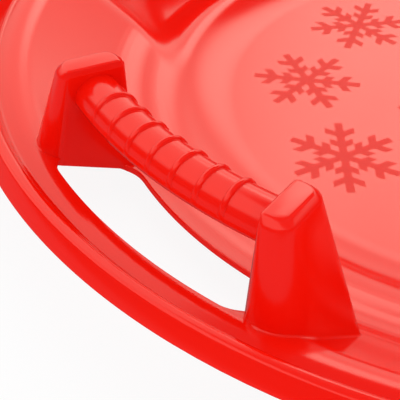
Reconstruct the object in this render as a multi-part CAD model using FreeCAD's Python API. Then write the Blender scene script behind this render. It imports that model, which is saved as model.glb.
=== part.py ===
"""Saucer sled: a round moulded dish with a rolled lip, two raised hand grips and two footwells.

Millimetres. +Z is up, the ground is z = 0 and the dish's axis is Z. The front footwell lies
towards -X, the left grip towards -Y. Every piece is one wall of the same moulded skin.
"""

import FreeCAD
import Part
import math
import os

Vector = FreeCAD.Vector
ORIGIN = Vector(0, 0, 0)
UP = Vector(0, 0, 1)

# Moulded skin
skin = 3.0
overrun = 10.0
touch = 0.01

# Widths of the dish's rings, from the rim inwards
rim_radius = 295.0
lip_outer_width = 7.5
lip_inner_width = 7.0
deck_width = 12.5
wall_width = 53.0
ridge_outer_width = 24.0
ridge_inner_width = 23.0
seat_edge_width = 28.0

# Rises of the dish's upper surface, from the seat floor outwards
ridge_rise = 12.7
valley_drop = 3.3
wall_rise = 36.0
deck_rise = 0.9
lip_rise = 7.0
rim_drop = 9.3

# Roundings of that surface; the seat's sweep takes a share of the ridge's inner slope
seat_sweep_share = 0.864
ridge_rounding = 8.0
valley_rounding = 20.0
crease_rounding = 6.0
lip_foot_rounding = 2.5
lip_crown_rounding = 5.5

# Hand slots, in the side wall under each grip
slot_inner_land = 6.0
slot_outer_land = 0.5
slot_end_setback = 2.0
slot_flare_angle = 6.6
slot_corner = 8.0

# Footwells, front and rear
side_wall_half_angle = 45.0
well_half_angle = 35.5
well_inner_land = 3.0
well_inner_slope_angle = 22.0
well_side_slope_angle = 30.0
well_outer_land = 18.0
well_outer_slope_angle = 65.0
well_fillet = 10.0

# Grip posts: hollow, tapered, with a bevelled top
post_half_spread = 63.72
post_setback = 23.4
post_rise = 40.6
post_root_drop = 0.4
post_bevel = 3.0
post_width = 13.6
post_depth = 30.4
post_bar_side_corner = 4.0
post_far_side_corner = 5.0
post_foot_corner = 6.0
post_hollow_corner = 2.5
post_foot_land = 2.5
post_foot_fillet = 1.8
post_far_side_spread = 22.6
post_end_spread = 6.5

# Grip bars: half-round channels with raised rings
bar_offset = 1.4
bar_drop = 11.9
bar_half_width = 10.7
bar_skirt = 1.4
ring_count = 7
ring_pitch = 12.6
ring_width = 3.0
ring_height = 1.1

# Where the rings of the dish lie
lip_crown_radius = rim_radius - lip_outer_width
lip_foot_radius = lip_crown_radius - lip_inner_width
crease_radius = lip_foot_radius - deck_width
deck_seam_radius = (lip_foot_radius + crease_radius + crease_rounding / 2) / 2
valley_radius = crease_radius - wall_width
ridge_radius = valley_radius - ridge_outer_width
seat_bend_radius = ridge_radius - ridge_inner_width
floor_seam_radius = seat_bend_radius - seat_edge_width
slot_inner_radius = valley_radius + slot_inner_land
slot_outer_radius = crease_radius - slot_outer_land
slot_half_length = post_half_spread - slot_end_setback
well_inner_radius = ridge_radius + well_inner_land
well_outer_radius = crease_radius - well_outer_land
post_radius = crease_radius - post_setback
post_angle = math.degrees(math.asin(post_half_spread / post_radius))
bar_radius = post_radius + bar_offset

# How high they lie
ridge_height = skin + ridge_rise
valley_height = ridge_height - valley_drop
crease_height = valley_height + wall_rise
lip_foot_height = crease_height + deck_rise
lip_crown_height = lip_foot_height + lip_rise
rim_edge_height = lip_crown_height - rim_drop
post_top_height = crease_height + post_rise
post_root_height = valley_height - post_root_drop
bar_axis_height = post_top_height - bar_drop

# The seat's sweep
seat_bend_angle = math.atan2(ridge_rise, ridge_inner_width)
seat_sweep_reach = math.hypot(ridge_rise, ridge_inner_width) * seat_sweep_share
seat_bend_rounding = seat_sweep_reach / math.tan(seat_bend_angle / 2)


def tangent(degrees):
    return math.tan(math.radians(degrees))


def at(radius, height):
    """A point of the dish's half section."""
    return Vector(radius, 0, height)


def turned(point, degrees):
    """A point of the half section, turned round the dish's axis."""
    return FreeCAD.Rotation(UP, degrees).multVec(point)


def lower_side(points, distance):
    """The corners of a line that runs beside another, at a distance on its lower side."""
    steps = [(b - a).normalize() for a, b in zip(points, points[1:])]
    normals = [Vector(step.z, 0, -step.x) for step in steps]
    before = normals[:1] + normals
    after = normals + normals[-1:]
    return [p + (m + n) * (distance / (1 + m.dot(n))) for p, m, n in zip(points, before, after)]


def lower_roundings(points, roundings, distance):
    """Roundings of that second line: hollows grow by the distance, crowns shrink by it."""
    result = []
    for a, b, c, rounding in zip(points, points[1:], points[2:], roundings):
        hollow = (b - a).cross(c - b).y < 0
        result.append(rounding + distance if hollow else max(rounding - distance, 0))
    return result


def rounded_line(points, roundings):
    """Edges through the corners, with a tangent arc of the given radius at each inner corner."""
    edges = []
    start = points[0]
    for a, b, c, rounding in zip(points, points[1:], points[2:], roundings):
        back = (a - b).normalize()
        ahead = (c - b).normalize()
        half = back.getAngle(ahead) / 2
        reach = rounding / math.tan(half)
        if reach > 0:
            middle = (back + ahead).normalize() * (rounding / math.sin(half) - rounding)
            edges.append(Part.LineSegment(start, b + back * reach).toShape())
            edges.append(Part.Arc(b + back * reach, b + middle, b + ahead * reach).toShape())
        else:
            edges.append(Part.LineSegment(start, b).toShape())
        start = b + ahead * reach
    edges.append(Part.LineSegment(start, points[-1]).toShape())
    return edges


def face_between(first, second):
    """The face between two edge chains that run the same way."""
    closing = []
    for end in (0, -1):
        a = first[end].Vertexes[end].Point
        b = second[end].Vertexes[end].Point
        closing.append(Part.LineSegment(a, b).toShape())
    wire = Part.Wire(Part.__sortEdges__(first + second + closing))
    return Part.Face(wire)


def polygon_face(points):
    return Part.Face(Part.makePolygon(points + points[:1]))


top_points = [
    at(0, skin),
    at(seat_bend_radius, skin),
    at(ridge_radius, ridge_height),
    at(valley_radius, valley_height),
    at(crease_radius, crease_height),
    at(lip_foot_radius, lip_foot_height),
    at(lip_crown_radius, lip_crown_height),
    at(rim_radius, rim_edge_height),
]
top_roundings = [
    seat_bend_rounding,
    ridge_rounding,
    valley_rounding,
    crease_rounding,
    lip_foot_rounding,
    lip_crown_rounding,
]


def skin_section(depth):
    """Half section from the dish's upper surface down to a line the given depth below it."""
    upper = rounded_line(top_points, top_roundings)
    lower = rounded_line(
        lower_side(top_points, depth), lower_roundings(top_points, top_roundings, depth)
    )
    return face_between(upper, lower)


def body_below(depth):
    """Everything under the line that lies the given depth below the dish's upper surface."""
    points = lower_side(top_points, depth)
    line = rounded_line(points, lower_roundings(top_points, top_roundings, depth))
    ground = Part.LineSegment(at(0, -overrun), at(points[-1].x, -overrun)).toShape()
    return face_between(line, [ground]).revolve(ORIGIN, UP, 360)


def ring_between(inner, outer, start=0, sweep=360):
    """The stretch of skin between two radii, swept round the axis from a start angle."""
    low = -overrun
    high = post_top_height
    band = polygon_face([at(inner, low), at(outer, low), at(outer, high), at(inner, high)])
    section = skin_section(skin).common(band).Faces[0]
    section.rotate(ORIGIN, UP, start)
    return section.revolve(ORIGIN, UP, sweep)


def seat_floor():
    return ring_between(0, floor_seam_radius)


def seat_ring():
    return ring_between(floor_seam_radius, ridge_radius)


def rim_lip():
    return ring_between(deck_seam_radius, rim_radius + overrun)


def well_tool(growth):
    """The hollow of the front footwell, with its faces moved outwards by the growth."""
    floor = skin - growth
    top = post_top_height
    inner_foot = well_inner_radius + (ridge_height - skin) / tangent(well_inner_slope_angle)
    inner_foot -= growth * tangent(well_inner_slope_angle / 2)
    outer_foot = well_outer_radius + growth * tangent(well_outer_slope_angle / 2)
    inner_top = inner_foot - (ridge_height - floor) / tangent(well_inner_slope_angle)
    outer_top = outer_foot + (top - floor) / tangent(well_outer_slope_angle)
    section = polygon_face([
        at(inner_foot, floor),
        at(outer_foot, floor),
        at(outer_top, top),
        at(inner_top, top),
        at(inner_top, ridge_height),
    ])
    section.rotate(ORIGIN, UP, 180 - side_wall_half_angle)
    tool = section.revolve(ORIGIN, UP, 2 * side_wall_half_angle)
    for side in (-1, 1):
        tool = tool.cut(well_side(side, growth))
    edges = [e for e in tool.Edges if is_floor_edge(e, floor)]
    return tool.makeFillet(well_fillet + growth, edges)


def is_floor_edge(edge, floor):
    return all(abs(v.Z - floor) < skin / 2 for v in edge.Vertexes)


def well_side(side, growth):
    """The block beyond one sloping side of the front footwell."""
    crest = turned(at(valley_radius, valley_height), 180 + side * well_half_angle)
    rise = turned(at(crease_radius, crease_height), 180 + side * well_half_angle) - crest
    rise.normalize()
    across = turned(Vector(0, side, 0), 180 + side * well_half_angle)
    downhill = across * -math.cos(math.radians(well_side_slope_angle))
    downhill -= UP * math.sin(math.radians(well_side_slope_angle))
    normal = rise.cross(downhill).normalize()
    if normal.z < 0:
        normal = -normal
    size = rim_radius
    block = Part.makeBox(2 * size, 2 * size, size)
    block.translate(Vector(-size, -size, -size))
    block.Placement = FreeCAD.Placement(
        crest - normal * growth, FreeCAD.Rotation(UP, normal)
    ).multiply(block.Placement)
    return block


def front_footwell():
    upper = body_below(0).cut(well_tool(0))
    lower = body_below(skin).cut(well_tool(skin))
    sector = sector_block(ridge_radius, deck_seam_radius, 180, side_wall_half_angle)
    return upper.cut(lower).common(sector)


def sector_block(inner, outer, middle, half_angle):
    """A tall block between two radii and two angles round the axis."""
    low = 0
    high = post_top_height
    face = polygon_face([at(inner, low), at(outer, low), at(outer, high), at(inner, high)])
    face.rotate(ORIGIN, UP, middle - half_angle)
    return face.revolve(ORIGIN, UP, 2 * half_angle)


def slot_end(radius):
    """A point on the straight end of the hand slot, at a distance in front of the dish's axis."""
    return Vector(slot_half_length + (slot_outer_radius - radius) * tangent(slot_flare_angle), -radius, 0)


def level(corners, height, bar_side_corner, far_side_corner):
    """A level section of a post through its four corners, rounded on the bar's and the far side."""
    raised = [Vector(p.x, p.y, height) for p in corners]
    middle = (raised[0] + raised[1]) / 2
    roundings = [bar_side_corner, far_side_corner, far_side_corner, bar_side_corner]
    edges = rounded_line([middle] + raised[1:] + [raised[0], middle], roundings)
    bar_side = Part.LineSegment(edges[-1].Vertexes[0].Point, edges[0].Vertexes[-1].Point).toShape()
    return Part.Wire([bar_side] + edges[1:-1])


def post_shoulder(inset):
    """Corners of a post under its bevel: outer and inner on the bar's side, then the far side."""
    half_width = post_width / 2 - inset
    half_depth = post_depth / 2 - inset
    places = [(-1, 1), (-1, -1), (1, -1), (1, 1)]
    return [
        turned(Vector(u * half_width, -post_radius - v * half_depth, 0), post_angle)
        for u, v in places
    ]


def beside_slot(distance, inset):
    """A point beside the slot's end, at a distance from the axis along the post's own line."""
    outward = turned(Vector(0, -1, 0), post_angle)
    start = slot_end(slot_outer_radius) + Vector(post_foot_land + inset, 0, 0)
    along = slot_end(slot_inner_radius) - slot_end(slot_outer_radius)
    return start + along * ((distance - start.dot(outward)) / along.dot(outward))


def post_foot(inset):
    """Corners of a post at its root, in the same order; its bar side follows the slot's end."""
    far = post_width / 2 + post_far_side_spread - inset
    outer = post_radius + post_depth / 2 + post_end_spread - inset
    inner = post_radius - post_depth / 2 - post_end_spread + inset
    return [
        beside_slot(outer, inset),
        beside_slot(inner, inset),
        turned(Vector(far, -inner, 0), post_angle),
        turned(Vector(far, -outer, 0), post_angle),
    ]


def post_tower():
    """The outside of a post, with its bevelled top."""
    shoulder_height = post_top_height - post_bevel
    return Part.makeLoft([
        level(post_foot(0), post_root_height, post_foot_corner, post_foot_corner),
        level(post_shoulder(0), shoulder_height, post_bar_side_corner, post_far_side_corner),
        level(post_shoulder(post_bevel), post_top_height, post_hollow_corner, post_hollow_corner),
    ], True, True)


def post_hollow():
    """The space inside a post, open below."""
    roof_height = post_top_height - skin
    return Part.makeLoft([
        level(post_foot(skin), post_root_height, post_hollow_corner, post_hollow_corner),
        level(post_shoulder(skin), roof_height, post_hollow_corner, post_hollow_corner),
    ], True, True)


def mirrored(shape):
    """The same shape on the other side of a grip's middle."""
    return shape.mirror(ORIGIN, Vector(1, 0, 0))


def touches(edge, shape):
    """Whether the middle of an edge lies on a shape."""
    middle = edge.valueAt((edge.FirstParameter + edge.LastParameter) / 2)
    return shape.distToShape(Part.Vertex(middle))[0] < touch


def left_rear_post():
    """A post with its foot flared into the side wall, short of the hand slot."""
    wall = wall_cone()
    post = post_tower()
    joined = wall.fuse(post)
    foot = [e for e in joined.Edges if touches(e, post) and touches(e, wall)]
    flared = joined.makeFillet(post_foot_fillet, foot)
    for tool in (wall, post_hollow()):
        flared = flared.cut(tool)
    return flared


def wall_cone():
    """Everything under the side wall's slope, carried on inwards and outwards past its ends."""
    slope = wall_rise / wall_width
    low = at(ridge_radius, valley_height - ridge_outer_width * slope)
    high = at(rim_radius, crease_height + (rim_radius - crease_radius) * slope)
    face = polygon_face([low, high, at(high.x, -overrun), at(low.x, -overrun)])
    return face.revolve(ORIGIN, UP, 360)


def slot_wedge():
    """Everything between the slot's two straight, flared ends."""
    near = slot_end(rim_radius)
    far = slot_end(0)
    plan = polygon_face([near, far, Vector(-far.x, far.y, 0), Vector(-near.x, near.y, 0)])
    return plan.extrude(UP * post_top_height)


def slot_tool():
    """The hand slot: a stretch of ring between the flared ends, with rounded corners."""
    ring = sector_block(slot_inner_radius, slot_outer_radius, 270, side_wall_half_angle)
    slot = ring.common(slot_wedge())
    upright = [e for e in slot.Edges if abs(e.Vertexes[0].Z - e.Vertexes[-1].Z) > skin]
    return slot.makeFillet(slot_corner, upright)


def left_side_wall():
    wall = ring_between(
        ridge_radius, deck_seam_radius, 270 - side_wall_half_angle, 2 * side_wall_half_angle
    )
    hollow = post_hollow()
    for tool in (slot_tool(), hollow, mirrored(hollow)):
        wall = wall.cut(tool)
    return wall


def channel_face(half_width):
    """Half-round channel section of a grip bar, open below."""
    bore = bar_half_width - skin
    foot = bar_axis_height - bar_skirt
    arcs = []
    for reach in (half_width, bore):
        left = at(bar_radius - reach, bar_axis_height)
        crown = at(bar_radius, bar_axis_height + reach)
        right = at(bar_radius + reach, bar_axis_height)
        arcs.append([
            Part.LineSegment(at(left.x, foot), left).toShape(),
            Part.Arc(left, crown, right).toShape(),
            Part.LineSegment(right, at(right.x, foot)).toShape(),
        ])
    return face_between(arcs[0], arcs[1])


def grip_stretch(half_width, middle, half_angle):
    """A stretch of grip bar, bent round the dish's axis."""
    face = channel_face(half_width)
    face.rotate(ORIGIN, UP, 270 + middle - half_angle)
    return face.revolve(ORIGIN, UP, 2 * half_angle)


def left_grip_bar():
    bar = grip_stretch(bar_half_width, 0, post_angle)
    pitch = math.degrees(ring_pitch / bar_radius)
    ring_half_angle = math.degrees(ring_width / bar_radius) / 2
    for index in range(ring_count):
        middle = (index - (ring_count - 1) / 2) * pitch
        bar = bar.fuse(grip_stretch(bar_half_width + ring_height, middle, ring_half_angle))
    post = post_tower()
    return bar.cut(post).cut(mirrored(post))


def opposite(shape):
    """The same shape half a turn round the dish."""
    copy = shape.copy()
    copy.rotate(ORIGIN, UP, 180)
    return copy


def pieces():
    """Every piece by name."""
    rear_post = left_rear_post()
    front_post = mirrored(rear_post)
    result = {
        "seat_floor": seat_floor(),
        "seat_ring": seat_ring(),
        "rim_lip": rim_lip(),
        "front_footwell": front_footwell(),
        "left_side_wall": left_side_wall(),
        "left_rear_post": rear_post,
        "left_front_post": front_post,
        "left_grip_bar": left_grip_bar(),
    }
    result["rear_footwell"] = opposite(result["front_footwell"])
    result["right_side_wall"] = opposite(result["left_side_wall"])
    result["right_front_post"] = opposite(rear_post)
    result["right_rear_post"] = opposite(front_post)
    result["right_grip_bar"] = opposite(result["left_grip_bar"])
    return result


def main():
    os.makedirs("parts", exist_ok=True)
    for name, shape in pieces().items():
        Part.makeCompound(shape.Solids).exportStep(os.path.join("parts", name + ".step"))


main()
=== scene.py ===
"""Saucer sled: a round moulded dish with a rolled lip, two hand grips and two footwells."""

import math

import bmesh
import bpy
from mathutils import Matrix, Vector


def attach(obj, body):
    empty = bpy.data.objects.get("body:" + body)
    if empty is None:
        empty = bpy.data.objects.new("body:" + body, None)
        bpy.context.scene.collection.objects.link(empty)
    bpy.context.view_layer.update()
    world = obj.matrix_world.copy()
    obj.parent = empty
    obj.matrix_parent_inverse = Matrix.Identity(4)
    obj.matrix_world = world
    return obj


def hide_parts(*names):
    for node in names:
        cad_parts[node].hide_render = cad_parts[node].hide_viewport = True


bl_info = {
    "name": "Saucer Sled",
    "version": (1, 0, 0),
    "blender": (4, 5, 0),
    "location": "View3D > Sidebar > Sled",
    "description": "Models a round moulded snow sled with hand grips and footwells",
    "category": "Object",
}

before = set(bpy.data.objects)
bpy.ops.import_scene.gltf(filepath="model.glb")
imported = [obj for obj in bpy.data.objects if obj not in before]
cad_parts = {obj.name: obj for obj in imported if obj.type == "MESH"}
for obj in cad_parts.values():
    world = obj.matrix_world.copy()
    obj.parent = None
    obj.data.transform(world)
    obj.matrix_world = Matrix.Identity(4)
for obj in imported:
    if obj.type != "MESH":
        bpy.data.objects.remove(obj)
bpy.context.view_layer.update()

MM = 0.001
UP = Vector((0, 0, 1))
MATH = "ShaderNodeMath"

# Tolerances: points this close are one, lie on a line, or are the same row.
WELD = 0.01 * MM
FINE_WELD = 0.001 * MM
ON_LINE = 0.1 * MM
SAME_ROW = 0.2 * MM

# Steps of the meshes.
DEGREES_A_STEP = 5  # in the bends of the dish's section
ROW_PITCH = 2 * MM  # between rows of the side wall
CORNER_STEPS = 8  # round a corner of a post
POST_ROWS = 6  # down the straight of a post's side
FLARE_ROWS = 8  # round the flare at its foot
CROWN_STEPS = 24  # over a bar's half-round crown
HALVINGS = 30  # in the search for the height at which a post meets the dish

SHARP = math.radians(50)  # edges of the dish that turn more than this are rounded
FLOOR_REACH = 6.0  # from the floor's middle to its sides, in metres
TWIGS = ((0.32, 0.2), (0.62, 0.26))  # a flake's twigs: place and length, as shares of its arm


def length(name, description, millimetres):
    """A size that a user may change, with its default in millimetres."""
    return bpy.props.FloatProperty(
        name=name, description=description, default=millimetres * MM, unit="LENGTH", precision=4
    )


def angle(name, description, degrees):
    """An angle that a user may change, with its default in degrees."""
    return bpy.props.FloatProperty(
        name=name, description=description, default=math.radians(degrees), subtype="ANGLE"
    )


def number(name, description, value):
    """A plain number that a user may change."""
    return bpy.props.FloatProperty(name=name, description=description, default=value, precision=3)


def count(name, description, value):
    """A count that a user may change."""
    return bpy.props.IntProperty(name=name, description=description, default=value)


def vector(name, description, value):
    """A point or direction that a user may change."""
    return bpy.props.FloatVectorProperty(
        name=name, description=description, default=value, subtype="XYZ", size=3
    )


def colour(name, description, shade):
    """A colour that a user may change, with its default as an sRGB hex value."""
    return bpy.props.FloatVectorProperty(
        name=name, description=description, default=linear(shade), subtype="COLOR", size=4
    )


def linear(shade):
    """The linear colour of an sRGB hex value."""
    levels = [int(shade[i:i + 2], 16) / 255 for i in (1, 3, 5)]
    return [c / 12.92 if c <= 0.04045 else ((c + 0.055) / 1.055) ** 2.4 for c in levels] + [1.0]


class SledDish(bpy.types.PropertyGroup):
    """Sizes of the moulded dish."""

    skin: length("Skin", "Wall thickness of the moulding", 3)
    seat_bend_radius: length("Seat bend radius", "Where the flat seat starts to sweep up", 168)
    seat_bend_rounding: length("Seat bend rounding", "Radius of the seat's sweep", 66)
    shelf_inner_radius: length("Shelf inner radius", "Inner edge of the shelf round the seat", 191)
    shelf_inner_height: length("Shelf inner height", "Height of that edge", 13.4)
    shelf_inner_rounding: length("Shelf inner rounding", "Radius of that edge", 50)
    shelf_outer_radius: length("Shelf outer radius", "Where the wall rises from the shelf", 217)
    shelf_outer_height: length("Shelf outer height", "Height of the shelf there", 14.2)
    shelf_outer_rounding: length("Shelf outer rounding", "Radius of the wall's foot", 40)
    crease_radius: length("Crease radius", "Where the side wall meets the deck", 268)
    crease_height: length("Crease height", "Height of that crease", 48.4)
    crease_rounding: length("Crease rounding", "Radius of the crease", 20)
    lip_foot_radius: length("Lip foot radius", "Where the lip rises from the deck", 280.5)
    lip_foot_height: length("Lip foot height", "Height of the lip's foot", 46.9)
    lip_foot_rounding: length("Lip foot rounding", "Radius of the lip's foot", 2.5)
    lip_inner_radius: length("Lip inner radius", "Inner edge of the lip's crown", 284.8)
    lip_outer_radius: length("Lip outer radius", "Outer edge of the lip's crown", 289.6)
    lip_crown_height: length("Lip crown height", "Height of the lip's crown", 55.6)
    lip_inner_rounding: length("Lip inner rounding", "Radius of the crown's inner edge", 3)
    lip_outer_rounding: length("Lip outer rounding", "Radius of the crown's outer edge", 2)
    rim_radius: length("Rim radius", "Radius of the outer rim", 295)
    rim_height: length("Rim height", "Height of the outer rim's edge", 47)
    edge_rounding: length("Edge rounding", "Radius on the edges of the rim and the slots", 0.8)


class SledSlots(bpy.types.PropertyGroup):
    """Sizes of the hand slots and the footwells."""

    slot_inner_radius: length("Slot inner radius", "Inner edge of a hand slot", 221)
    slot_outer_radius: length("Slot outer radius", "Outer edge of a hand slot", 267.5)
    slot_half_length: length("Slot half length", "Half of a slot's length at its outer edge", 61.7)
    slot_flare: angle("Slot flare", "Splay of a slot's straight ends", 6.6)
    slot_corner: length("Slot corner", "Radius of a slot's inner corners", 8)
    slot_outer_corner: length("Slot outer corner", "Radius of a slot's outer corners", 13)
    well_half_angle: angle("Well half angle", "Half of the angle that a footwell spans", 32.8)
    well_inner_radius: length("Well inner radius", "Inner edge of a footwell", 187)
    well_inner_slope: angle("Well inner slope", "Slope of a footwell's inner side", 22)
    well_side_slope: angle("Well side slope", "Slope of a footwell's flanks", 30)
    well_outer_radius: length("Well outer radius", "Outer end of a footwell's floor", 250)
    well_outer_slope: angle("Well outer slope", "Slope of a footwell's outer wall", 65)
    well_floor_blend: length("Well floor blend", "Softness round a footwell's floor", 1.2)
    well_flank_blend: length("Well flank blend", "Softness at the foot of the flanks", 12)
    well_outer_blend: length("Well outer blend", "Softness at the foot of the outer wall", 12)
    well_edge_blend: length("Well edge blend", "Softness of a footwell's edge", 6)


class SledGrips(bpy.types.PropertyGroup):
    """Sizes of the grip posts and grip bars."""

    post_angle: angle("Post angle", "Angle from a grip's middle to a post", 15.1)
    post_radius: length("Post radius", "Distance of a post from the dish's axis", 244.6)
    post_top_height: length("Post top height", "Height of a post's top", 89)
    post_root_height: length("Post root height", "Height at which a post's foot is measured", 12)
    post_bevel: length("Post bevel", "Width of the bevel round a post's top", 3)
    post_width: length("Post width", "Width of a post under its bevel", 13.6)
    post_depth: length("Post depth", "Depth of a post under its bevel", 30.4)
    bar_side_corner: length("Bar side corner", "Radius of a post's corners beside the bar", 4)
    far_side_corner: length("Far side corner", "Radius of a post's other corners", 7.5)
    foot_corner: length("Foot corner", "Radius of a post's corners at its foot", 5)
    foot_bar_corner: length("Foot bar corner", "Radius of a foot's outer corner beside the bar", 15)
    foot_lap: length("Foot lap", "How far a post's foot laps over the slot's end", 0.7)
    foot_outer_corner: length("Foot outer corner", "Radius of a foot's far outer corner", 29)
    foot_fillet: length("Foot fillet", "Radius of the flare round a post's foot", 1.2)
    far_side_lean: angle("Far side lean", "Lean of a post's far side at its outer corner", 17)
    far_inner_lean: angle("Far inner lean", "Lean of a post's far side at its inner corner", 19)
    outer_lean: angle("Outer lean", "Lean of a post's outer side", 15)
    inner_lean: angle("Inner lean", "Lean of a post's inner side beside the bar", 10)
    top_rounding: length("Top rounding", "Radius on the edges of a post's top", 0.9)
    post_skin: length("Post skin", "Wall thickness of a post", 2.55)
    foot_sink: length("Foot sink", "How far a post's bar side sinks into the dish", 3.6)
    opening_inset: length("Opening inset", "From a post's sides to the opening under it", 7.2)
    bar_radius: length("Bar radius", "Radius at which a bar bends round the dish's axis", 243.4)
    bar_height: length("Bar height", "Height of a bar's axis", 73.4)
    bar_half_width: length("Bar half width", "Radius of a bar's half-round crown", 10.7)
    bar_skirt: length("Bar skirt", "Straight skirt under the half-round crown", 1.4)
    bar_tuck: length("Bar tuck", "How far a bar's ends run into the posts", 1.5)
    ring_count: count("Rings", "Raised rings on a bar", 7)
    ring_pitch: length("Ring pitch", "Distance from ring to ring", 13.2)
    ring_width: length("Ring width", "Width of a ring", 2.8)
    ring_height: length("Ring height", "How far a ring stands out at its crown", 1.4)


class SledFinish(bpy.types.PropertyGroup):
    """Colours, marks and pattern of the plastic, and the colour of the floor."""

    red: colour("Red", "Colour of the moulded plastic", "#F51405")
    deep_red: colour("Deep red", "Slightly deeper colour, in faint flow marks", "#EE0F03")
    matte_red: colour("Matte red", "Colour of the seat's matte pattern", "#E81C0A")
    floor: colour("Floor", "Colour of the floor", "#F4F4F4")
    flow_size: length("Flow size", "Size of the flow marks", 60)
    ripple_size: length("Ripple size", "Size of the ripples in the gloss", 25)
    ripple_depth: length("Ripple depth", "Depth of those ripples", 0.3)
    ripple_share: number("Ripple share", "Strength of those ripples", 0.1)
    polish_low: number("Finest polish", "Roughness of the glossiest plastic", 0.10)
    polish_high: number("Dullest polish", "Roughness of the dullest plastic", 0.18)
    matte_roughness: number("Matte roughness", "Roughness of the seat's pattern", 0.5)
    paper_roughness: number("Paper roughness", "Roughness of the floor", 0.9)
    refraction: number("Refraction", "Refractive index of the plastic", 1.45)
    flake_count: count("Flakes", "Small snowflakes round the seat", 9)
    flake_circle: length("Flake circle", "Radius of the circle of small flakes", 112)
    small_flake: length("Small flake", "Reach of a small flake's arms", 31)
    small_line: length("Small line", "Line width of a small flake", 4.4)
    large_flake: length("Large flake", "Reach of the middle flake's arms", 62)
    large_line: length("Large line", "Line width of the middle flake", 5.5)
    pattern_radius: length("Pattern radius", "Limit of the pattern", 150)
    pattern_height: length("Pattern height", "The pattern lies above this height", 2)


class SledStage(bpy.types.PropertyGroup):
    """Where the camera stands and what it looks at."""

    camera_azimuth: angle("Camera azimuth", "Camera's angle round the sled", 49.85)
    camera_elevation: angle("Camera elevation", "Camera's angle above the horizon", 38.83)
    camera_distance: length("Camera distance", "Distance from camera to target", 419.41)
    camera_roll: angle("Camera roll", "Camera's roll", 0.35)
    camera_lens: number("Lens", "Focal length in millimetres on the sensor", 88.58)
    camera_sensor: number("Sensor", "Width of the sensor in millimetres", 36)
    target: vector("Target", "Point at the middle of the picture", (2 * MM, -227.7 * MM, 47 * MM))


class SledLight(bpy.types.PropertyGroup):
    """Light, and what the gloss mirrors of it."""

    even: number("Even light", "Strength of the light from all sides", 1.08)
    over_aim: vector("Overhead aim", "Direction of the panel overhead", (-0.25, 0.2, 0.93))
    over_start: number("Overhead start", "Cosine at which that panel fades in", 0.28)
    over_full: number("Overhead full", "Cosine at which it is full", 0.50)
    over_strength: number("Overhead strength", "Strength of that panel", 1.5)
    rear_aim: vector("Rear aim", "Direction of the panel behind", (-0.475, 0.654, 0.588))
    rear_start: number("Rear start", "Cosine at which that panel fades in", 0.975)
    rear_full: number("Rear full", "Cosine at which it is full", 1.0)
    rear_strength: number("Rear strength", "Strength of that panel", 2.2)
    ceiling_aim: vector("Ceiling aim", "Direction of the dim ceiling", (0.2, 0.35, 1))
    ceiling_start: number("Ceiling start", "Cosine at which the ceiling starts", 0.72)
    ceiling_full: number("Ceiling full", "Cosine at which it is full", 0.77)
    ceiling_share: number("Ceiling share", "Share of the panels that the ceiling leaves", 0.12)
    panel_tone: colour("Panel tone", "Colour of the panels", "#FFFBE9")
    floor_seen: number("Floor seen", "Share of plain white in the floor to the eye", 0.9)
    floor_mirrored: number("Floor mirrored", "The same share in the gloss", 0.8)
    floor_dimmed: number("Floor dimmed", "How much darker that share is in the gloss", 0.9)


def node(tree, kind, inputs=(), **settings):
    """Adds a node, sets its properties, and sets its inputs or links them from nodes or sockets."""
    made = tree.nodes.new(kind)
    for name, setting in settings.items():
        setattr(made, name, setting)
    for socket, value in inputs.items() if isinstance(inputs, dict) else enumerate(inputs):
        if isinstance(value, bpy.types.Node):
            value = value.outputs[0]
        if isinstance(value, bpy.types.NodeSocket):
            tree.links.new(value, made.inputs[socket])
        else:
            made.inputs[socket].default_value = value
    return made


def moulded_polyethylene(finish):
    """Injection-moulded red polyethylene, glossy from a polished mould.

    It gives saturated red where it faces the eye and a pale sheen where it mirrors the light.
    Faint flow marks vary its colour, and shrinkage ripples its gloss. On the seat, a pattern of
    snowflakes is left matte, and looks darker because it mirrors less.
    """
    material = bpy.data.materials.new("moulded_polyethylene")
    material.use_nodes = True
    tree = material.node_tree
    shader = tree.nodes["Principled BSDF"]
    shader.inputs["IOR"].default_value = finish.refraction
    place = node(tree, "ShaderNodeTexCoord").outputs["Object"]
    flow, ripple = (
        node(tree, "ShaderNodeTexNoise", {"Vector": place, "Scale": 1 / size, "Detail": detail})
        for size, detail in ((finish.flow_size, 3.0), (finish.ripple_size, 1.0))
    )
    tint = node(tree, "ShaderNodeMix", {0: flow, "A": finish.red, "B": finish.deep_red},
                data_type="RGBA")
    mask = seat_pattern(tree, place, finish)
    shade = node(tree, "ShaderNodeMix",
                 {0: mask, "A": tint.outputs["Result"], "B": finish.matte_red}, data_type="RGBA")
    polish = node(tree, "ShaderNodeMapRange",
                  {0: flow, "To Min": finish.polish_low, "To Max": finish.polish_high})
    grain = node(tree, "ShaderNodeMix", {0: mask, "A": polish, "B": finish.matte_roughness})
    bump = node(tree, "ShaderNodeBump", {
        "Strength": finish.ripple_share, "Distance": finish.ripple_depth, "Height": ripple,
    })
    tree.links.new(shade.outputs["Result"], shader.inputs["Base Color"])
    tree.links.new(grain.outputs[0], shader.inputs["Roughness"])
    tree.links.new(bump.outputs["Normal"], shader.inputs["Normal"])
    return material


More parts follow.
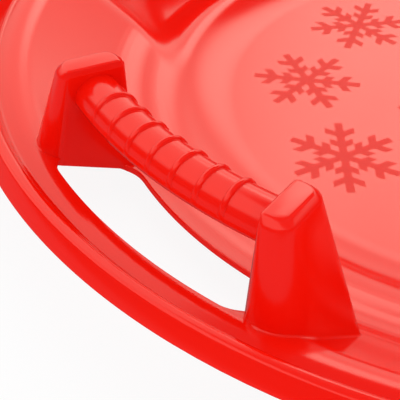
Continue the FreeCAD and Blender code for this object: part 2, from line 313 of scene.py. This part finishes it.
def snowflake(tree, u, v, reach, line):
    """A mask with a six-armed flake round the origin of u and v, of given reach and line width."""
    squares = [node(tree, MATH, (w, w), operation="MULTIPLY") for w in (u, v)]
    out = node(tree, MATH, [node(tree, MATH, squares, operation="ADD")], operation="SQRT")
    bearing = node(tree, MATH, (v, u), operation="ARCTAN2")
    turn = node(tree, MATH, (bearing, math.pi / 6), operation="PINGPONG")
    along, aside = (
        node(tree, MATH, (out, node(tree, MATH, [turn], operation=wave)), operation="MULTIPLY")
        for wave in ("COSINE", "SINE")
    )
    slope = 0.58  # twigs leave the arm at about 60 degrees
    drift = node(tree, MATH, (aside, slope), operation="MULTIPLY")
    slant = node(tree, MATH, (along, drift), operation="SUBTRACT")
    # The arm, then its twigs: each lies within two limits.
    limits = [((aside, line / 2), (along, reach))]
    for place, branch in TWIGS:
        gap = node(tree, MATH, (slant, place * reach), operation="SUBTRACT")
        off = node(tree, MATH, [gap], operation="ABSOLUTE")
        limits.append(((off, slope * line), (aside, branch * reach)))
    mask = 0.0
    for pair in limits:
        bounds = [node(tree, MATH, limit, operation="LESS_THAN") for limit in pair]
        stroke = node(tree, MATH, bounds, operation="MULTIPLY")
        mask = node(tree, MATH, (mask, stroke), operation="MAXIMUM")
    return mask


def seat_pattern(tree, place, finish):
    """A mask with a ring of small snowflakes on the seat round one large flake."""
    x, y, z = node(tree, "ShaderNodeSeparateXYZ", [place]).outputs
    squares = [node(tree, MATH, (w, w), operation="MULTIPLY") for w in (x, y)]
    out = node(tree, MATH, [node(tree, MATH, squares, operation="ADD")], operation="SQRT")
    bearing = node(tree, MATH, (y, x), operation="ARCTAN2")
    folded = node(tree, MATH, (bearing, math.tau / finish.flake_count), operation="FLOORED_MODULO")
    sector = node(tree, MATH, (folded, math.pi / finish.flake_count), operation="SUBTRACT")
    along, v = (
        node(tree, MATH, (out, node(tree, MATH, [sector], operation=wave)), operation="MULTIPLY")
        for wave in ("COSINE", "SINE")
    )
    u = node(tree, MATH, (along, finish.flake_circle), operation="SUBTRACT")
    flakes = (
        snowflake(tree, u, v, finish.small_flake, finish.small_line),
        snowflake(tree, x, y, finish.large_flake, finish.large_line),
    )
    mask = node(tree, MATH, flakes, operation="MAXIMUM")
    for value, limit, side in (
        (out, finish.pattern_radius, "LESS_THAN"), (z, finish.pattern_height, "GREATER_THAN"),
    ):
        inside = node(tree, MATH, (value, limit), operation=side)
        mask = node(tree, MATH, (mask, inside), operation="MULTIPLY")
    return mask


def shared_material(finish):
    """The plastic, made once for all pieces."""
    return bpy.data.materials.get("moulded_polyethylene") or moulded_polyethylene(finish)


def keep(bm, name, material, nodes):
    """Turns a bmesh into a smooth piece that stands for the named nodes."""
    mesh = bpy.data.meshes.new(name)
    for face in bm.faces:
        face.smooth = True
    bm.to_mesh(mesh)
    bm.free()
    piece = bpy.data.objects.new(name, mesh)
    bpy.context.scene.collection.objects.link(piece)
    mesh.materials.append(material)
    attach(piece, "root")
    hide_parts(*nodes)
    return piece


def dish_corners(dish):
    """Corners of the dish's upper surface from the axis to the rim, each with its rounding."""
    return [
        (0, dish.skin, 0),
        (dish.seat_bend_radius, dish.skin, dish.seat_bend_rounding),
        (dish.shelf_inner_radius, dish.shelf_inner_height, dish.shelf_inner_rounding),
        (dish.shelf_outer_radius, dish.shelf_outer_height, dish.shelf_outer_rounding),
        (dish.crease_radius, dish.crease_height, dish.crease_rounding),
        (dish.lip_foot_radius, dish.lip_foot_height, dish.lip_foot_rounding),
        (dish.lip_inner_radius, dish.lip_crown_height, dish.lip_inner_rounding),
        (dish.lip_outer_radius, dish.lip_crown_height, dish.lip_outer_rounding),
        (dish.rim_radius, dish.rim_height, 0),
    ]


def dish_section(dish, rows):
    """The dish's upper half section as a chain of edges, with a vertex at each given radius."""
    bm = bmesh.new()
    corners = dish_corners(dish)
    verts = [bm.verts.new((radius, 0, height)) for radius, height, _ in corners]
    for pair in zip(verts, verts[1:]):
        bm.edges.new(pair)
    turns = []
    for a, b, c in zip(verts, verts[1:], verts[2:]):
        turns.append((b.co - a.co).angle(c.co - b.co))
    for vert, turn, corner in zip(verts[1:-1], turns, corners[1:-1]):
        bmesh.ops.bevel(
            bm, geom=[vert], offset=corner[2] * math.tan(turn / 2), offset_type="OFFSET",
            segments=max(4, round(math.degrees(turn) / DEGREES_A_STEP)), profile=0.5,
            affect="VERTICES", material=-1,
        )
    for radius in rows:
        bmesh.ops.bisect_plane(
            bm, geom=bm.verts[:] + bm.edges[:], dist=SAME_ROW,
            plane_co=(radius, 0, 0), plane_no=(1, 0, 0),
        )
    return bm


def dish_height(dish):
    """A function that gives the height of the dish's plain upper surface at a radius."""
    bm = dish_section(dish, [])
    points = sorted((v.co.x, v.co.z) for v in bm.verts)
    bm.free()

    def height(radius):
        for (r0, z0), (r1, z1) in zip(points, points[1:]):
            if radius <= r1:
                return z0 + (z1 - z0) * (radius - r0) / max(r1 - r0, 1e-9)
        return points[-1][1]

    return height


def blended(low, high, reach):
    """The lower of two heights, with the corner between them rounded off over a reach."""
    near = max(reach - abs(low - high), 0)
    return min(low, high) - near * near / (4 * reach)


def well_height(dish, slots, place):
    """Height of the rear footwell's hollow over a point of the sled."""
    radius = math.hypot(place.x, place.y)
    floor = dish.skin
    fall = (radius - slots.well_inner_radius) * math.tan(slots.well_inner_slope)
    inner = dish.shelf_inner_height - fall
    outer = floor + (radius - slots.well_outer_radius) * math.tan(slots.well_outer_slope)
    line = Vector((math.cos(slots.well_half_angle), math.sin(slots.well_half_angle), 0))
    crest = line * dish.shelf_outer_radius + UP * dish.shelf_outer_height
    rise = (line * dish.crease_radius + UP * dish.crease_height - crest).normalized()
    across = Vector((-line.y, line.x, 0))
    downhill = -across * math.cos(slots.well_side_slope) - UP * math.sin(slots.well_side_slope)
    normal = rise.cross(downhill)
    flat = Vector((place.x, abs(place.y), 0)) - Vector((crest.x, crest.y, 0))
    flank = crest.z - normal.dot(flat) / normal.z
    hollow = -blended(-floor, -inner, slots.well_floor_blend)
    hollow = -blended(-hollow, -flank, slots.well_flank_blend)
    return -blended(-hollow, -outer, slots.well_outer_blend)


def slot_bearing(slots, radius):
    """Angle from a grip's middle to the slot's straight end, at a radius."""
    flare = math.tan(slots.slot_flare)
    reach = slots.slot_half_length + slots.slot_outer_radius * flare
    run = math.hypot(1, flare)
    return math.asin(reach / (radius * run)) - math.atan(flare)


def eased(value, low, high):
    """0 below a limit, 1 above another, and an even rise between them."""
    return min(max((value - low) / (high - low), 0), 1)


def slot_end(slots, lap):
    """A point on the left rear end of a slot and the way along it, moved over the slot by a lap."""
    start = Vector((slots.slot_half_length - lap, -slots.slot_outer_radius, 0))
    return start, Vector((math.tan(slots.slot_flare), 1, 0))


def post_corners(dish, slots, grips):
    """Corners of the left rear post: under its bevel, and at its root, in the same order."""
    height = dish_height(dish)
    turn = Matrix.Rotation(grips.post_angle, 3, "Z")
    outward = turn @ Vector((0, -1, 0))
    top = grips.post_top_height - grips.post_bevel
    drop = top - grips.post_root_height
    shoulder = []
    for u, v in ((-1, 1), (-1, -1), (1, -1), (1, 1)):
        across = u * grips.post_width / 2
        along = -grips.post_radius - v * grips.post_depth / 2
        shoulder.append(turn @ Vector((across, along, 0)) + UP * top)
    start, along = slot_end(slots, grips.foot_lap)
    leans = (math.tan(grips.outer_lean), -math.tan(grips.inner_lean))
    levels = (dish.crease_height, height(slots.slot_inner_radius))
    foot = []
    for corner, lean, level in zip(shoulder, leans, levels):
        reach = corner.dot(outward) + lean * (top - level)
        landing = start + along * ((reach - start.dot(outward)) / along.dot(outward)) + UP * level
        foot.append(corner + (landing - corner) * (drop / (top - level)))
    far_leans = ((grips.far_inner_lean, 0), (grips.far_side_lean, leans[0]))
    for corner, (side, lean) in zip(shoulder[2:], far_leans):
        foot.append(corner + (turn @ Vector((math.tan(side), 0, -1)) + outward * lean) * drop)
    return shoulder, foot


class SLED_OT_dish(bpy.types.Operator):
    """Models the dish: seat, shelf, side wall, footwells, hand slots, deck and lip, as one skin"""

    bl_idname = "sled.dish"
    bl_label = "Moulded Dish"

    def execute(self, context):
        dish = context.scene.sled_dish
        slots = context.scene.sled_slots
        grips = context.scene.sled_grips
        bm = self.quarter(dish, slots)
        self.sink_well(bm, dish, slots)
        self.cut_slot(bm, slots)
        self.open_post(bm, dish, slots, grips)
        for axis in ("X", "Y"):
            whole = bm.verts[:] + bm.edges[:] + bm.faces[:]
            bmesh.ops.mirror(bm, geom=whole, merge_dist=WELD, axis=axis)
        bmesh.ops.remove_doubles(bm, verts=bm.verts[:], dist=WELD)
        bmesh.ops.dissolve_degenerate(bm, edges=bm.edges[:], dist=WELD)
        bmesh.ops.recalc_face_normals(bm, faces=bm.faces[:])
        if sum(f.normal.z * f.calc_area() for f in bm.faces) < 0:
            bmesh.ops.reverse_faces(bm, faces=bm.faces[:])
        piece = keep(bm, "moulded_dish", shared_material(context.scene.sled_finish), [
            "seat_floor", "seat_ring", "rim_lip", "front_footwell", "rear_footwell",
            "left_side_wall", "right_side_wall",
        ])
        wall = piece.modifiers.new("skin", "SOLIDIFY")
        wall.thickness = dish.skin
        wall.offset = -1
        wall.use_even_offset = True
        edges = piece.modifiers.new("edge_rounding", "BEVEL")
        edges.width = dish.edge_rounding
        edges.segments = 3
        edges.limit_method = "ANGLE"
        edges.angle_limit = SHARP
        edges.use_clamp_overlap = False
        return {"FINISHED"}

    def quarter(self, dish, slots):
        """A quarter of the dish's upper surface, from the rear footwell to the right grip."""
        span = dish.crease_radius - dish.shelf_inner_radius
        rows = [dish.shelf_inner_radius + ROW_PITCH * i for i in range(int(span / ROW_PITCH))]
        rows += [slots.slot_inner_radius, slots.slot_outer_radius]
        bm = dish_section(dish, rows)
        last = bm.verts[:] + bm.edges[:]
        end = math.degrees(slot_bearing(slots, slots.slot_inner_radius))
        # Degrees and steps: the footwell's floor, its flank, the plain wall, the slot.
        for sweep, steps in ((16, 8), (24, 44), (50 - end, 20), (end, 32)):
            last = bmesh.ops.spin(
                bm, geom=last, cent=(0, 0, 0), axis=UP, dvec=(0, 0, 0),
                angle=math.radians(sweep), steps=steps,
                use_merge=False, use_normal_flip=False, use_duplicate=False,
            )["geom_last"]
        bmesh.ops.remove_doubles(bm, verts=bm.verts[:], dist=FINE_WELD)
        return bm

    def sink_well(self, bm, dish, slots):
        """Hollows the rear footwell out of the side wall."""
        start = slots.well_inner_radius - 10 * MM  # the blended edge reaches in this far
        for vert in bm.verts:
            if math.hypot(vert.co.x, vert.co.y) > start and vert.co.y < vert.co.x:
                hollow = well_height(dish, slots, vert.co)
                vert.co.z = blended(vert.co.z, hollow, slots.well_edge_blend)

    def cut_slot(self, bm, slots):
        """Slides a row of edges onto the slot's splayed end, opens the slot, rounds its corners."""
        end = slot_bearing(slots, slots.slot_inner_radius)
        still = math.radians(40)  # rows beyond this bearing stay
        fade = slots.slot_inner_radius - 15 * MM  # and so do those inside this radius
        for vert in bm.verts:
            radius = math.hypot(vert.co.x, vert.co.y)
            bearing = math.atan2(vert.co.x, vert.co.y)
            if bearing < still and radius > fade:
                near = eased(bearing, 0, end) * eased(bearing, still, end)
                near *= eased(radius, fade, slots.slot_inner_radius)
                shift = slot_bearing(slots, max(radius, slots.slot_inner_radius)) - end
                vert.co = Matrix.Rotation(-shift * near, 3, "Z") @ vert.co
        gap = []
        for face in bm.faces:
            middle = face.calc_center_median()
            radius = math.hypot(middle.x, middle.y)
            if slots.slot_inner_radius < radius < slots.slot_outer_radius:
                if math.atan2(middle.x, middle.y) < slot_bearing(slots, radius):
                    gap.append(face)
        bmesh.ops.delete(bm, geom=gap, context="FACES")
        arcs = (slots.slot_inner_radius, slots.slot_outer_radius)
        corners = []
        for vert in bm.verts:
            radius = math.hypot(vert.co.x, vert.co.y)
            bearing = math.atan2(vert.co.x, vert.co.y)
            if vert.is_boundary and min(abs(radius - arc) for arc in arcs) < ON_LINE:
                if abs(bearing - slot_bearing(slots, radius)) * radius < ON_LINE:
                    corners.append(vert)
        corners.sort(key=lambda v: v.co.xy.length)
        for corner, rounding in zip(corners, (slots.slot_corner, slots.slot_outer_corner)):
            self.round_corner(bm, corner, rounding)

    def round_corner(self, bm, corner, rounding):
        """Pulls the edge near a corner of the slot onto an arc."""
        arms = [e.other_vert(corner) for e in corner.link_edges if e.is_boundary]
        ways = [(v.co - corner.co).normalized() for v in arms]
        half = ways[0].angle(ways[1]) / 2
        middle = corner.co + (ways[0] + ways[1]).normalized() * (rounding / math.sin(half))
        near = rounding / math.tan(half)
        tip = corner.co.copy()
        for vert in bm.verts:
            if vert.is_boundary and (vert.co - tip).length < near:
                vert.co = middle + (vert.co - middle).normalized() * rounding

    def open_post(self, bm, dish, slots, grips):
        """Opens the dish under the hollow of the right rear post."""
        shoulder, foot = post_corners(dish, slots, grips)
        across = Matrix.Diagonal((1, -1, 1))
        shoulder = [across @ p for p in shoulder]
        foot = [across @ p for p in foot]
        middle = sum(foot, Vector()) / 4
        around = 45 * MM  # takes in all of the foot
        planes = []
        for i in range(4):
            normal = (foot[i - 1] - foot[i]).cross(shoulder[i] - foot[i]).normalized()
            if normal.dot(middle - foot[i]) < 0:
                normal = -normal
            planes.append((foot[i] + normal * grips.opening_inset, normal))
        for point, normal in planes:
            close = [f for f in bm.faces if (f.calc_center_median() - middle).length < around]
            geom = set(close)
            for face in close:
                geom.update(face.edges)
                geom.update(face.verts)
            bmesh.ops.bisect_plane(
                bm, geom=list(geom), dist=ON_LINE / 2, plane_co=point, plane_no=normal
            )
        inside = []
        for face in bm.faces:
            at = face.calc_center_median()
            if all((at - point).dot(normal) > 0 for point, normal in planes):
                inside.append(face)
        bmesh.ops.delete(bm, geom=inside, context="FACES")


class SLED_OT_posts(bpy.types.Operator):
    """Models the four hollow grip posts with their bevelled tops and flared feet"""

    bl_idname = "sled.posts"
    bl_label = "Grip Posts"

    def execute(self, context):
        scene = context.scene
        places = {
            "left_rear_post": (1, 1), "left_front_post": (-1, 1),
            "right_rear_post": (1, -1), "right_front_post": (-1, -1),
        }
        for name, (x, y) in places.items():
            bm = self.post(scene.sled_dish, scene.sled_slots, scene.sled_grips)
            bmesh.ops.scale(bm, vec=(x, y, 1), verts=bm.verts[:])
            bmesh.ops.recalc_face_normals(bm, faces=bm.faces[:])
            if max(bm.faces, key=lambda f: f.calc_center_median().z).normal.z < 0:
                bmesh.ops.reverse_faces(bm, faces=bm.faces[:])
            plastic = shared_material(scene.sled_finish)
            piece = keep(bm, name.replace("post", "grip_post"), plastic, [name])
            wall = piece.modifiers.new("skin", "SOLIDIFY")
            wall.thickness = scene.sled_grips.post_skin
            wall.offset = -1
        return {"FINISHED"}

    def outline(self, bm, corners, roundings):
        """Adds a face with four corners and rounds them."""
        face = bm.faces.new([bm.verts.new(p) for p in corners])
        for vert, rounding in zip(face.verts[:], roundings):
            a, b = [(e.other_vert(vert).co - vert.co).normalized() for e in vert.link_edges]
            bmesh.ops.bevel(
                bm, geom=[vert], offset=rounding / math.tan(a.angle(b) / 2), offset_type="OFFSET",
                segments=CORNER_STEPS, profile=0.5, affect="VERTICES", material=-1,
            )

    def post(self, dish, slots, grips):
        """The outer skin of the left rear post."""
        bm = bmesh.new()
        shoulder, foot = post_corners(dish, slots, grips)
        near = grips.bar_side_corner
        far = grips.far_side_corner
        self.outline(bm, shoulder, (near, near, far, far))
        shape = bmesh.new()
        self.outline(shape, foot, (
            grips.foot_bar_corner, grips.foot_corner, grips.foot_corner, grips.foot_outer_corner,
        ))
        top_face = bm.faces[:][0]
        ring = [loop.vert for loop in top_face.loops]
        shape.faces.ensure_lookup_table()
        base = [loop.vert.co.copy() for loop in shape.faces[0].loops]
        shape.free()
        shift = min(range(len(base)), key=lambda k: (base[k].xy - foot[0].xy).length)
        start = min(range(len(ring)), key=lambda k: (ring[k].co.xy - shoulder[0].xy).length)
        base = base[shift:] + base[:shift]
        ring = ring[start:] + ring[:start]
        columns = self.columns(dish, slots, grips, [v.co.copy() for v in ring], base)
        self.skirt(bm, ring, columns)
        self.bevelled_top(bm, top_face, grips)
        return bm

    def columns(self, dish, slots, grips, ring, base):
        """Points down each side line of a post, ending in a flare on the dish."""
        height = dish_height(dish)
        feet = []
        for high, low in zip(ring, base):
            above, below = 0.0, 1.0
            for _ in range(HALVINGS):
                share = (above + below) / 2
                point = high.lerp(low, share)
                if point.z > height(point.xy.length):
                    above = share
                else:
                    below = share
            feet.append(high.lerp(low, above))
        start, along = slot_end(slots, grips.foot_lap)
        barward = Vector((-along.y, along.x, 0)).normalized()
        limit = dish.lip_foot_radius - dish.lip_foot_rounding
        middle = sum(feet, Vector()) / len(feet)
        lines = []
        for i, (high, foot) in enumerate(zip(ring, feet)):
            away = (feet[(i + 1) % len(feet)] - feet[i - 1]).cross(UP).normalized()
            if away.dot(foot - middle) < 0:
                away = -away
            facing = away.dot(barward)
            # A line that faces the bar stands on the slot's end; one that faces away is flared.
            bound = eased(facing, 0.5, 0.85)
            free = eased(facing, 0.5, -0.1)
            foot = foot + barward * (start - foot).dot(barward) * bound
            foot.z = height(foot.xy.length)
            slope = (height((foot + away * MM).xy.length) - height(foot.xy.length)) / MM
            over = (away + UP * slope).normalized()
            up = (high - foot).normalized()
            half = up.angle(over) / 2
            reach = grips.foot_fillet * free / math.tan(half)
            line = self.flared(high, foot, up, over, half, reach, height, limit)
            sunk = foot - up * grips.foot_sink
            sink = [(1 - free) * eased(k, POST_ROWS - 1, len(line) - 1) for k in range(len(line))]
            lines.append([point.lerp(sunk, share) for point, share in zip(line, sink)])
        return lines

    def flared(self, high, foot, up, over, half, reach, height, limit):
        """One side line: straight down from the shoulder, then round an arc onto the dish."""
        begin = foot + up * reach
        points = [high.lerp(begin, (i + 1) / POST_ROWS) for i in range(POST_ROWS)]
        finish = foot + over * reach
        beyond = max(finish.xy.length / limit, 1)
        finish = Vector((finish.x / beyond, finish.y / beyond, 0))
        finish.z = height(finish.xy.length)
        weight = math.sin(half)
        for i in range(FLARE_ROWS):
            u = (i + 1) / FLARE_ROWS
            a, b, c = (1 - u) ** 2, 2 * u * (1 - u) * weight, u * u
            points.append((begin * a + foot * b + finish * c) / (a + b + c))
        points[-1].z -= ON_LINE
        return points

    def skirt(self, bm, ring, columns):
        """Extrudes the outline downwards, row by row, along the side lines."""
        for row in range(len(columns[0])):
            edges = [bm.edges.get((a, b)) for a, b in zip(ring, ring[1:] + ring[:1])]
            made = bmesh.ops.extrude_edge_only(bm, edges=edges)["geom"]
            fresh = {g for g in made if isinstance(g, bmesh.types.BMVert)}
            lower = []
            for vert in ring:
                ends = (edge.other_vert(vert) for edge in vert.link_edges)
                lower.append(next(end for end in ends if end in fresh))
            for vert, line in zip(lower, columns):
                vert.co = line[row]
            ring = lower

    def bevelled_top(self, bm, top_face, grips):
        """Raises the top inside a bevel and rounds the bevel's edges."""
        bmesh.ops.recalc_face_normals(bm, faces=bm.faces[:])
        if top_face.normal.z < 0:
            bmesh.ops.reverse_faces(bm, faces=bm.faces[:])
        bm.normal_update()
        shoulder = set(top_face.edges)
        bmesh.ops.inset_region(
            bm, faces=[top_face], thickness=grips.post_bevel, depth=grips.post_bevel,
            use_even_offset=True, use_boundary=True,
        )
        across = Matrix.Rotation(grips.post_angle, 3, "Z") @ Vector((1, 0, 0))
        far = max(v.co.dot(across) for v in top_face.verts)
        near = min(v.co.dot(across) for v in top_face.verts)
        for vert in top_face.verts:
            share = (far - vert.co.dot(across)) / (far - near)
            vert.co -= across * share * (grips.post_bevel - grips.top_rounding)
        crown = set(top_face.edges)
        bmesh.ops.bevel(
            bm, geom=list(shoulder | crown), offset=grips.top_rounding, offset_type="OFFSET",
            segments=3, profile=0.5, affect="EDGES", material=-1, clamp_overlap=True,
        )


class SLED_OT_bars(bpy.types.Operator):
    """Models the two half-round grip bars with their raised rings"""

    bl_idname = "sled.bars"
    bl_label = "Grip Bars"

    def execute(self, context):
        scene = context.scene
        for name, side in (("left_grip_bar", 1), ("right_grip_bar", -1)):
            bm = self.bar(scene.sled_dish, scene.sled_grips)
            bmesh.ops.scale(bm, vec=(1, side, 1), verts=bm.verts[:])
            bmesh.ops.recalc_face_normals(bm, faces=bm.faces[:])
            plastic = shared_material(scene.sled_finish)
            keep(bm, name.replace("grip", "ringed_grip"), plastic, [name])
        return {"FINISHED"}

    def section(self, bm, dish, grips):
        """The half-round channel's closed outline, standing at the bar's middle."""
        centre = Vector((grips.bar_radius, 0, grips.bar_height))
        chains = []
        for radius in (grips.bar_half_width, grips.bar_half_width - dish.skin):
            start = bm.verts.new(centre + Vector((radius, 0, -grips.bar_skirt)))
            rise = bmesh.ops.extrude_vert_indiv(bm, verts=[start])["verts"][0]
            rise.co.z = centre.z
            arc = bmesh.ops.spin(
                bm, geom=[rise], cent=centre, axis=(0, -1, 0), dvec=(0, 0, 0),
                angle=math.pi, steps=CROWN_STEPS,
                use_merge=False, use_normal_flip=False, use_duplicate=False,
            )["geom_last"]
            last = next(g for g in arc if isinstance(g, bmesh.types.BMVert))
            fall = bmesh.ops.extrude_vert_indiv(bm, verts=[last])["verts"][0]
            fall.co.z -= grips.bar_skirt
            chains.append((start, fall))
        for outer, inner in zip(*chains):
            bm.edges.new((outer, inner))

    def bar(self, dish, grips):
        """The channel, swept round the dish's axis with rows for its rings."""
        bm = bmesh.new()
        self.section(bm, dish, grips)
        half = grips.post_angle - (grips.post_width / 2 - grips.bar_tuck) / grips.bar_radius
        start = Matrix.Rotation(-math.pi / 2 - half, 3, "Z")
        bmesh.ops.rotate(bm, cent=(0, 0, 0), matrix=start, verts=bm.verts[:])
        ring_half = grips.ring_width / grips.bar_radius / 2
        beside = 1.15 * ring_half  # a row close beside each ring keeps the bar's shading even
        pitch = grips.ring_pitch / grips.bar_radius
        rings = [(i - (grips.ring_count - 1) / 2) * pitch for i in range(grips.ring_count)]
        stops = []
        for middle in rings:
            stops += [
                (middle - beside, 2), (middle - ring_half, 1),
                (middle + ring_half, 16), (middle + beside, 1),
            ]
        stops.append((half, 3))
        last = bm.verts[:] + bm.edges[:]
        place = -half
        for stop, steps in stops:
            last = bmesh.ops.spin(
                bm, geom=last, cent=(0, 0, 0), axis=UP, dvec=(0, 0, 0),
                angle=stop - place, steps=steps,
                use_merge=False, use_normal_flip=False, use_duplicate=False,
            )["geom_last"]
            place = stop
        bmesh.ops.remove_doubles(bm, verts=bm.verts[:], dist=FINE_WELD)
        self.raise_rings(bm, grips, rings, ring_half)
        return bm

    def raise_rings(self, bm, grips, rings, ring_half):
        """Swells the outer skin into a rounded ring at each ring's place."""
        for vert in bm.verts:
            bearing = math.atan2(vert.co.x, -vert.co.y)
            near = min(abs(bearing - middle) for middle in rings) / ring_half
            flat = vert.co.xy.normalized() * grips.bar_radius
            level = max(grips.bar_height - grips.bar_skirt, min(vert.co.z, grips.bar_height))
            away = vert.co - Vector((flat.x, flat.y, level))
            outside = away.length > grips.bar_half_width - 0.5 * MM
            if near < 1 and away.z > 0 and outside:
                swell = grips.ring_height * away.normalized().z ** 0.7  # fades out at the skirt
                vert.co += away.normalized() * swell * (1 - near ** 2) ** 0.5


class SLED_OT_stage(bpy.types.Operator):
    """Sets up the floor, the soft light and the camera"""

    bl_idname = "sled.stage"
    bl_label = "Stage"

    def execute(self, context):
        scene = context.scene
        self.floor(scene)
        self.sky(scene, scene.sled_light)
        self.camera(scene, scene.sled_stage)
        scene.view_settings.view_transform = "Standard"
        return {"FINISHED"}

    def floor(self, scene):
        """A level floor, wide enough to fill the picture."""
        bm = bmesh.new()
        bmesh.ops.create_grid(bm, x_segments=1, y_segments=1, size=FLOOR_REACH)
        mesh = bpy.data.meshes.new("floor")
        bm.to_mesh(mesh)
        bm.free()
        plane = bpy.data.objects.new("floor", mesh)
        scene.collection.objects.link(plane)
        mesh.materials.append(self.white_paper(scene.sled_finish, scene.sled_light))

    def white_paper(self, finish, lit):
        """Seamless white paper, which keeps a pale shadow and looks dim in the plastic's gloss."""
        material = bpy.data.materials.new("white_paper")
        material.use_nodes = True
        tree = material.node_tree
        shader = tree.nodes["Principled BSDF"]
        shader.inputs["Base Color"].default_value = finish.floor
        shader.inputs["Roughness"].default_value = finish.paper_roughness
        shader.inputs["Specular IOR Level"].default_value = 0.0
        rays = node(tree, "ShaderNodeLightPath").outputs
        mirrored = node(tree, MATH, (rays["Is Glossy Ray"], rays["Is Transmission Ray"]),
                        operation="MAXIMUM")
        shares = [
            node(tree, MATH, pair, operation="MULTIPLY")
            for pair in ((rays["Is Camera Ray"], lit.floor_seen), (mirrored, lit.floor_mirrored))
        ]
        share = node(tree, MATH, shares, operation="MAXIMUM")
        dimmed = node(tree, MATH, (mirrored, lit.floor_dimmed), operation="MULTIPLY")
        level = node(tree, MATH, (1.0, dimmed), operation="SUBTRACT")
        glow = node(tree, "ShaderNodeEmission", ((1, 1, 1, 1), level))
        seen = node(tree, "ShaderNodeMixShader", (share, shader, glow))
        tree.links.new(seen.outputs[0], tree.nodes["Material Output"].inputs["Surface"])
        return material

    def sky(self, scene, lit):
        """Even light; in the gloss, a panel overhead, a brighter one behind and a dim ceiling."""
        world = bpy.data.worlds.new("studio")
        scene.world = world
        world.use_nodes = True
        tree = world.node_tree
        back = tree.nodes["Background"]
        place = node(tree, "ShaderNodeTexCoord").outputs["Generated"]
        parts = []
        for aim, start, full, outside, inside in (
            (lit.over_aim, lit.over_start, lit.over_full, 0.0, lit.over_strength),
            (lit.rear_aim, lit.rear_start, lit.rear_full, 0.0, lit.rear_strength),
            (lit.ceiling_aim, lit.ceiling_start, lit.ceiling_full, 1.0, lit.ceiling_share),
        ):
            facing = node(tree, "ShaderNodeVectorMath", (place, aim.normalized()),
                          operation="DOT_PRODUCT")
            ramp = (facing.outputs["Value"], start, full, outside, inside)
            parts.append(node(tree, "ShaderNodeMapRange", ramp, interpolation_type="SMOOTHSTEP"))
        panels = node(tree, MATH, parts[:2], operation="ADD")
        panels = node(tree, MATH, (panels, parts[2]), operation="MULTIPLY")
        glossy = node(tree, "ShaderNodeLightPath").outputs["Is Glossy Ray"]
        shown = node(tree, "ShaderNodeMix", {0: glossy, "A": lit.even, "B": panels})
        tree.links.new(shown.outputs[0], back.inputs["Strength"])
        tone = node(tree, "ShaderNodeMix", {0: glossy, "A": (1, 1, 1, 1), "B": lit.panel_tone},
                    data_type="RGBA")
        tree.links.new(tone.outputs["Result"], back.inputs["Color"])

    def camera(self, scene, stage):
        """A camera at the photograph's angle."""
        data = bpy.data.cameras.new("camera")
        data.sensor_width = stage.camera_sensor
        data.sensor_fit = "HORIZONTAL"
        data.lens = stage.camera_lens
        data.clip_start = 10 * MM
        camera = bpy.data.objects.new("camera", data)
        turn = Matrix.Rotation(stage.camera_azimuth, 4, "Z")
        turn @= Matrix.Rotation(math.pi / 2 - stage.camera_elevation, 4, "X")
        turn @= Matrix.Rotation(stage.camera_roll, 4, "Z")
        back = Matrix.Translation((0, 0, stage.camera_distance))
        camera.matrix_world = Matrix.Translation(stage.target) @ turn @ back
        scene.collection.objects.link(camera)
        scene.camera = camera


class SLED_PT_panel(bpy.types.Panel):
    """Lists the sled's pieces"""

    bl_idname = "SLED_PT_panel"
    bl_label = "Saucer Sled"
    bl_space_type = "VIEW_3D"
    bl_region_type = "UI"
    bl_category = "Sled"

    def draw(self, context):
        for operator in operators:
            self.layout.operator(operator.bl_idname)


operators = (SLED_OT_dish, SLED_OT_posts, SLED_OT_bars, SLED_OT_stage)
groups = {
    "sled_dish": SledDish,
    "sled_slots": SledSlots,
    "sled_grips": SledGrips,
    "sled_finish": SledFinish,
    "sled_stage": SledStage,
    "sled_light": SledLight,
}


def register():
    """Adds the sled's settings, operators and panel."""
    for made in (*groups.values(), *operators, SLED_PT_panel):
        bpy.utils.register_class(made)
    for name, group in groups.items():
        setattr(bpy.types.Scene, name, bpy.props.PointerProperty(type=group))


def unregister():
    """Takes them away again."""
    for name in groups:
        delattr(bpy.types.Scene, name)
    for made in (SLED_PT_panel, *operators, *groups.values()):
        bpy.utils.unregister_class(made)


def main():
    """Builds the sled and its stage."""
    register()
    bpy.ops.sled.dish()
    bpy.ops.sled.posts()
    bpy.ops.sled.bars()
    bpy.ops.sled.stage()


if __name__ == "__main__":
    main()
